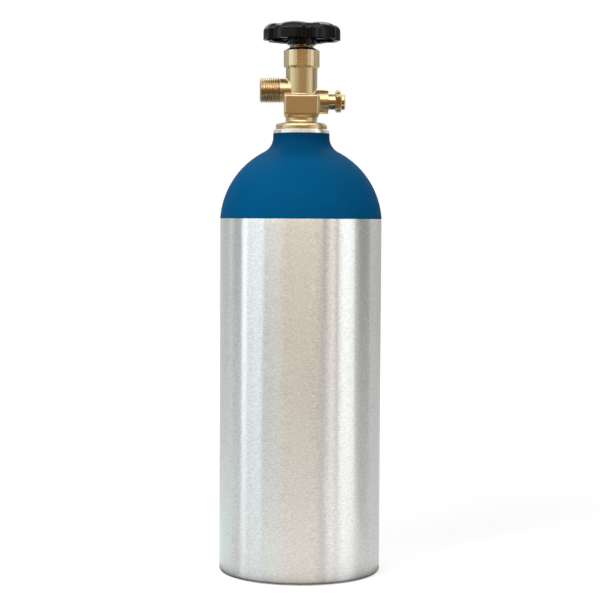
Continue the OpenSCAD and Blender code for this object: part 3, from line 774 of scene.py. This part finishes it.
# Moulded phenolic: a deep black with a hard gloss, very slightly rippled, and a little duller
# where it has been handled.
ripple_w = 7.0
smear_w = 14.0
phenolic, tree = new_material("moulded_black_phenolic")
place = add(tree, "ShaderNodeTexCoord").outputs["Object"]
ripple = add(tree, "ShaderNodeTexNoise", {
    "Vector": place, "Scale": 1 / (ripple_w * MM), "Detail": 1.0,
}).outputs["Fac"]
smears = add(tree, "ShaderNodeTexNoise", {
    "Vector": place, "Scale": 1 / (smear_w * MM), "Detail": 5.0,
}).outputs["Fac"]
colour = add(tree, "ShaderNodeMix", {
    "Factor": smears, tone_a: linear("#08080a"), tone_b: linear("#121317"),
}, data_type="RGBA").outputs[mixed]
gloss = add(tree, "ShaderNodeMapRange", {"Value": smears, "To Min": 0.08, "To Max": 0.2})
skin = add(tree, "ShaderNodeBump", {"Height": ripple, "Strength": 0.08, "Distance": 0.2 * MM})
shader = add(tree, "ShaderNodeBsdfPrincipled", {
    "Base Color": colour, "Roughness": gloss.outputs["Result"], "IOR": 1.6,
    "Specular IOR Level": 0.14, "Normal": skin.outputs["Normal"],
})
add(tree, "ShaderNodeOutputMaterial", {"Surface": shader.outputs["BSDF"]})
finished(handwheel, phenolic, "wheel", "black_wheel", "handwheel")

# The wheel's nut and washer: pressed and rolled steel, zinc plated, drawn up in the recess.
# Zinc is a cool grey with a faint bluish clouding.
plating_cloud_w = 3.0
zinc, tree = new_material("zinc_plated_steel")
place = add(tree, "ShaderNodeTexCoord").outputs["Object"]
clouds = add(tree, "ShaderNodeTexNoise", {
    "Vector": place, "Scale": 1 / (plating_cloud_w * MM), "Detail": 4.0,
}).outputs["Fac"]
colour = add(tree, "ShaderNodeMix", {
    "Factor": clouds, tone_a: linear("#b4b8bd"), tone_b: linear("#d6d8da"),
}, data_type="RGBA").outputs[mixed]
dullness = add(tree, "ShaderNodeMapRange", {"Value": clouds, "To Min": 0.22, "To Max": 0.34})
shader = add(tree, "ShaderNodeBsdfPrincipled", {
    "Base Color": colour, "Metallic": 1.0, "Roughness": dullness.outputs["Result"],
})
add(tree, "ShaderNodeOutputMaterial", {"Surface": shader.outputs["BSDF"]})
dress("handwheel_washer", zinc)
dress("handwheel_nut", zinc)

# The relief plug: turned from brass bar, with a hexagon, a vent hole in each of its flats and a
# rounded nose. It screws into the boss and holds the burst disc down on its gasket.
plug_start, plug_end = (corner.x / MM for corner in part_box("relief_plug"))
relief_thread_r = relief_hole_r - fit
relief_neck_r = 7.0
relief_neck_l = 5.7
relief_hex_af = 15.9
relief_hex_l = 5.2
relief_nose_r = 7.1
relief_nose_round = 1.2
relief_bore_r = 2.5
relief_bore_floor = 1.0
vent_r = 1.3
vent_l = 4.4
vent_way_r = 0.3
drill_tip = math.radians(118)
drill_point = (vent_r - vent_way_r) / math.tan(drill_tip / 2)
relief_turn = math.radians(8)
relief_hex_x = relief_face + relief_neck_l
relief_nose_x = relief_hex_x + relief_hex_l
hex_blank_r = 9.54
hex_face_r = 7.7115
hex_chamfer_slope = math.tan(math.radians(30))
hex_chamfer_l = (hex_blank_r - hex_face_r) * hex_chamfer_slope
nose_edge = arc(relief_nose_r - relief_nose_round, plug_end - relief_nose_round,
                relief_nose_round, 0, 90, 6)
blank_steps = 120
blank = turned([
    (0, plug_start),
    (relief_thread_r, plug_start),
    (relief_thread_r, relief_face),
    (relief_neck_r, relief_face),
    (relief_neck_r, relief_hex_x),
    (hex_face_r, relief_hex_x),
    (hex_blank_r, relief_hex_x + hex_chamfer_l),
    (hex_blank_r, relief_nose_x - hex_chamfer_l),
    (hex_face_r, relief_nose_x),
    (relief_nose_r, relief_nose_x),
    *nose_edge,
    (0, plug_end),
], steps=blank_steps)

# Half a step of turn keeps the blank's own edges off the hexagon's corners
moved(blank, Matrix.Rotation(math.pi / blank_steps, 4, "Z"))
relief_plug = rough_piece("relief_plug", blank)
combine(relief_plug, hexagon(relief_hex_af, plug_start - spare, plug_end + spare), "INTERSECT")
break_edges(relief_plug, sharper_than=20)
combine(relief_plug, turned([
    (0, plug_start - spare),
    (relief_bore_r, plug_start - spare),
    (relief_bore_r, relief_nose_x - relief_bore_floor),
    (0, relief_nose_x - relief_bore_floor),
], steps=48), "DIFFERENCE")
vent_middle = Matrix.Translation((0, 0, relief_hex_x + relief_hex_l / 2))
outwards = Matrix.Rotation(math.radians(90), 4, "Y")
for i in range(flats):
    vent = turned([
        (0, 0),
        (vent_way_r, 0),
        (vent_way_r, relief_hex_af / 2 - vent_l - drill_point),
        (vent_r, relief_hex_af / 2 - vent_l),
        (vent_r, relief_hex_af),
        (0, relief_hex_af),
    ], steps=24)
    turn = Matrix.Rotation((2 * i + 1) * half_flat, 4, "Z")
    combine(relief_plug, moved(vent, vent_middle @ turn @ outwards), "DIFFERENCE")
relief_plug.data.transform(to_relief @ Matrix.Rotation(relief_turn, 4, "Z"))
even_shading(finished(relief_plug, level_brass, "tank", "turned_brass", "relief_plug"))

# The floor: a wide pale sheet. It is white to the camera and in reflections, and keeps the
# cylinder's shadow. Away from the cylinder it fades into the white room.
floor_r = 4.0
fade_start_r = 0.45
fade_end_r = 1.3
near_lift = 0.5
far_lift = 0.78
mirrored_lift = 0.25
floor = bmesh.new()
bmesh.ops.create_circle(floor, cap_ends=True, segments=96, radius=floor_r / MM)
floor = rough_piece("floor", floor)
floor.data.transform(Matrix.Scale(MM, 4))
paper, tree = new_material("white_paper_sweep")
rays = add(tree, "ShaderNodeLightPath").outputs
mirrored = add(tree, "ShaderNodeMath", {
    0: rays["Is Glossy Ray"], 1: rays["Is Transmission Ray"],
}, operation="MAXIMUM").outputs["Value"]
faint = add(tree, "ShaderNodeMath", {
    0: mirrored, 1: mirrored_lift,
}, operation="MULTIPLY").outputs["Value"]
sheet = add(tree, "ShaderNodeBsdfDiffuse", {"Color": linear("#dddddd")})
spot = add(tree, "ShaderNodeTexCoord").outputs["Object"]
away = add(tree, "ShaderNodeVectorMath", {0: spot}, operation="LENGTH").outputs["Value"]
fade = add(tree, "ShaderNodeMapRange", {
    "Value": away, "From Min": fade_start_r, "From Max": fade_end_r,
    "To Min": near_lift, "To Max": far_lift,
}).outputs["Result"]
lift = add(tree, "ShaderNodeMath", {
    0: rays["Is Camera Ray"], 1: fade, 2: faint,
}, operation="MULTIPLY_ADD")
glow = add(tree, "ShaderNodeEmission", {
    "Color": linear("#ffffff"), "Strength": lift.outputs["Value"],
})
surface = add(tree, "ShaderNodeAddShader", {0: sheet.outputs["BSDF"], 1: glow.outputs["Emission"]})
add(tree, "ShaderNodeOutputMaterial", {"Surface": surface.outputs["Shader"]})
floor.data.materials.append(paper)

# The studio: a white room, hung with white, grey and warm cards and bright strips that only show
# in reflections. They give the bare metal its bands, and the brass and the wheel their lights.
room_light = 0.38
white_light = 1.0
world = bpy.data.worlds.new("white_studio")
bpy.context.scene.world = world
world.use_nodes = True
tree = world.node_tree
tree.nodes.clear()
rays = add(tree, "ShaderNodeLightPath").outputs
mirrored = add(tree, "ShaderNodeMath", {
    0: rays["Is Glossy Ray"], 1: rays["Is Transmission Ray"],
}, operation="MAXIMUM").outputs["Value"]
seen = add(tree, "ShaderNodeMath", {
    0: rays["Is Camera Ray"], 1: mirrored,
}, operation="MAXIMUM").outputs["Value"]
room = add(tree, "ShaderNodeBackground", {"Color": linear("#ffffff"), "Strength": room_light})
white = add(tree, "ShaderNodeBackground", {"Color": linear("#ffffff"), "Strength": white_light})
sky = add(tree, "ShaderNodeMixShader", {
    "Fac": seen, 1: room.outputs["Background"], 2: white.outputs["Background"],
})
add(tree, "ShaderNodeOutputWorld", {"Surface": sky.outputs["Shader"]})

# Each card: the angles in degrees between which it runs round the axis, 0 in front and 90 at the
# right, then its foot and head as (reach, height) in metres, its colour and its brightness
card_steps = 32
cards = [
    # Painted shadow: a dark ring on the floor round the foot, seen only in reflections, stands in
    # for the contact shadow in the base's rounded edge
    ("painted_contact_shadow_card", -180, 180, (0.06, 0.001), (0.075, 0.001), "#57514c", 1.0),
    ("left_near_floor_card", -150, -93, (0.09, 0.002), (0.4, 0.002), "#eef8fa", 1.03),
    ("left_floor_card", -54, -26, (0.4, 0.002), (1.69, 0.002), "#454b4d", 1.0),
    ("front_floor_card", -26, 30, (0.4, 0.002), (1.69, 0.002), "#615646", 1.0),
    ("pink_near_floor_card", 30, 54, (0.09, 0.002), (0.4, 0.002), "#ffffff", 1.1),
    ("pink_floor_card", 30, 54, (0.4, 0.002), (1.69, 0.002), "#c0b8b2", 1.0),
    ("right_floor_card", 54, 82, (0.09, 0.002), (1.69, 0.002), "#ffffff", 1.1),
    ("left_gap_card", -54, -47, (1.7, 0.0), (1.7, 0.4), "#60686c", 1.0),
    ("left_grey_card", -47, -26, (1.7, 0.0), (1.7, 0.4), "#5c6364", 1.0),
    ("left_cream_card", -54, -26, (1.7, 0.4), (1.7, 1.1), "#f6ecde", 1.0),
    ("front_brown_card", -26, 30, (1.7, 0.0), (1.7, 1.1), "#a9804c", 1.0),
    ("left_strip_card", -60, -26, (1.7, 1.1), (1.5, 1.29), "#fffcf6", 6.2),
    ("front_strip_card", -26, 33, (1.7, 1.1), (1.5, 1.29), "#fffdf8", 6.3),
    ("front_softbox_card", -64, 33, (1.5, 1.29), (0.8, 1.95), "#fffdf8", 2.3),
    ("front_ceiling_card", -54, 30, (0.8, 1.95), (0.1, 2.1), "#f6f2ea", 1.0),
    ("overhead_card", 90, 270, (0.02, 2.0), (0.36, 2.0), "#ffffff", 3.0),
    ("right_strip", 33, 100, (1.7, 2.0), (1.7, 2.5), "#ffffff", 5.0),
    ("back_strip", 120, 240, (1.7, 2.0), (1.2, 2.5), "#ffffff", 5.5),
    ("left_strip", -110, -75, (1.7, 2.0), (1.7, 2.5), "#ffffff", 5.0),
    ("grey_gap_card", 30, 36, (1.7, 0.0), (1.7, 2.0), "#7e7770", 1.0),
    ("grey_card", 36, 41.5, (1.7, 0.0), (1.7, 2.0), "#d6cec6", 1.0),
    ("pink_card", 41.5, 50, (1.7, 0.0), (1.7, 2.0), "#fff4ee", 1.25),
    ("pink_gap_card", 50, 55, (1.7, 0.0), (1.7, 2.0), "#948c85", 1.0),
    ("pale_card", 55, 61, (1.7, 0.0), (1.7, 2.0), "#fff4ee", 1.1),
    ("right_white_card", 61, 82, (1.7, 0.0), (1.7, 2.0), "#ffffff", 1.4),
    ("right_grey_card", 82, 90, (1.7, 0.0), (1.7, 2.0), "#bdbdb9", 1.0),
    ("right_flag", 90, 115, (1.7, 0.0), (1.7, 0.55), "#767671", 1.0),
    ("right_high_flag", 90, 115, (1.7, 0.55), (1.7, 2.0), "#96968f", 1.0),
    ("right_back_card", 115, 180, (1.7, 0.0), (1.7, 0.6), "#b8b8b3", 1.0),
    ("left_back_card", 180, 249, (1.7, 0.0), (1.7, 0.6), "#ced4d1", 1.0),
    ("left_back_flag", 188, 236, (1.69, 0.57), (1.69, 0.8), "#666a6c", 1.0),
    ("left_flag", 249, 269.7, (1.7, 0.0), (1.7, 2.0), "#a9afae", 1.0),
    ("left_edge_card", 269.7, 279, (1.7, 0.0), (1.7, 2.0), "#eef6fc", 2.1),
    ("left_low_card", 279, 306, (1.7, 0.0), (1.7, 0.5), "#b6c0c4", 1.0),
    ("left_white_card", 279, 306, (1.7, 0.5), (1.7, 2.0), "#eaf5fd", 1.9),
]
for name, start, end, foot, head, code, strength in cards:
    card = bmesh.new()
    card.edges.new([card.verts.new((0, -reach, height)) for reach, height in (foot, head)])
    bmesh.ops.rotate(card, verts=card.verts, matrix=Matrix.Rotation(math.radians(start), 3, "Z"))
    bmesh.ops.spin(card, geom=card.verts[:] + card.edges[:], axis=(0, 0, 1),
                   angle=math.radians(end - start), steps=card_steps)
    card = rough_piece(name, card)
    cloth, tree = new_material(name)
    tone = add(tree, "ShaderNodeEmission", {"Color": linear(code), "Strength": strength})
    add(tree, "ShaderNodeOutputMaterial", {"Surface": tone.outputs["Emission"]})
    card.data.materials.append(cloth)
    card.visible_camera = False
    card.visible_diffuse = False
    card.visible_shadow = False

# The lamps: a softbox at each side, the left one as the key, one in front and one overhead, each
# turned to the middle of the cylinder. In reflections the cards and the white room stand for them.
middle_z = 0.24
lamps = [
    ("left_softbox", (-0.8, -0.9, 1.2), (0.6, 0.8), 8.0),
    ("right_softbox", (1.25, -0.55, 0.7), (0.4, 1.0), 1.0),
    ("front_softbox", (-0.25, -1.3, 1.3), (1.2, 0.3), 4.0),
    ("top_softbox", (0.0, 0.25, 1.9), (1.4, 0.4), 7.0),
]
for name, spot, size, power in lamps:
    lamp = bpy.data.lights.new(name, "AREA")
    lamp.shape = "RECTANGLE"
    lamp.size, lamp.size_y = size
    lamp.energy = power
    holder = bpy.data.objects.new(name, lamp)
    holder.location = spot
    aim = Vector((0, 0, middle_z)) - holder.location
    holder.rotation_euler = aim.to_track_quat("-Z", "Y").to_euler()
    holder.visible_camera = False
    holder.visible_glossy = False
    bpy.context.scene.collection.objects.link(holder)

# The camera: a long lens a little above the middle of the cylinder, turned slightly down and rolled
# by a third of a degree, as the photograph was taken.
camera_x = -0.0004
camera_y = -1.4
camera_z = 0.29267
camera_pitch = 2.75
camera_roll = 0.3
sensor_w = 36.0
lens = 101.28
camera = bpy.data.cameras.new("camera")
camera.sensor_width = sensor_w
camera.lens = lens
holder = bpy.data.objects.new("camera", camera)
stand = Matrix.Translation((camera_x, camera_y, camera_z))
pitch_turn = Matrix.Rotation(math.radians(90 - camera_pitch), 4, "X")
roll_turn = Matrix.Rotation(math.radians(camera_roll), 4, "Z")
holder.matrix_world = stand @ pitch_turn @ roll_turn
bpy.context.scene.collection.objects.link(holder)
bpy.context.scene.camera = holder
bpy.context.scene.view_settings.view_transform = "Standard"
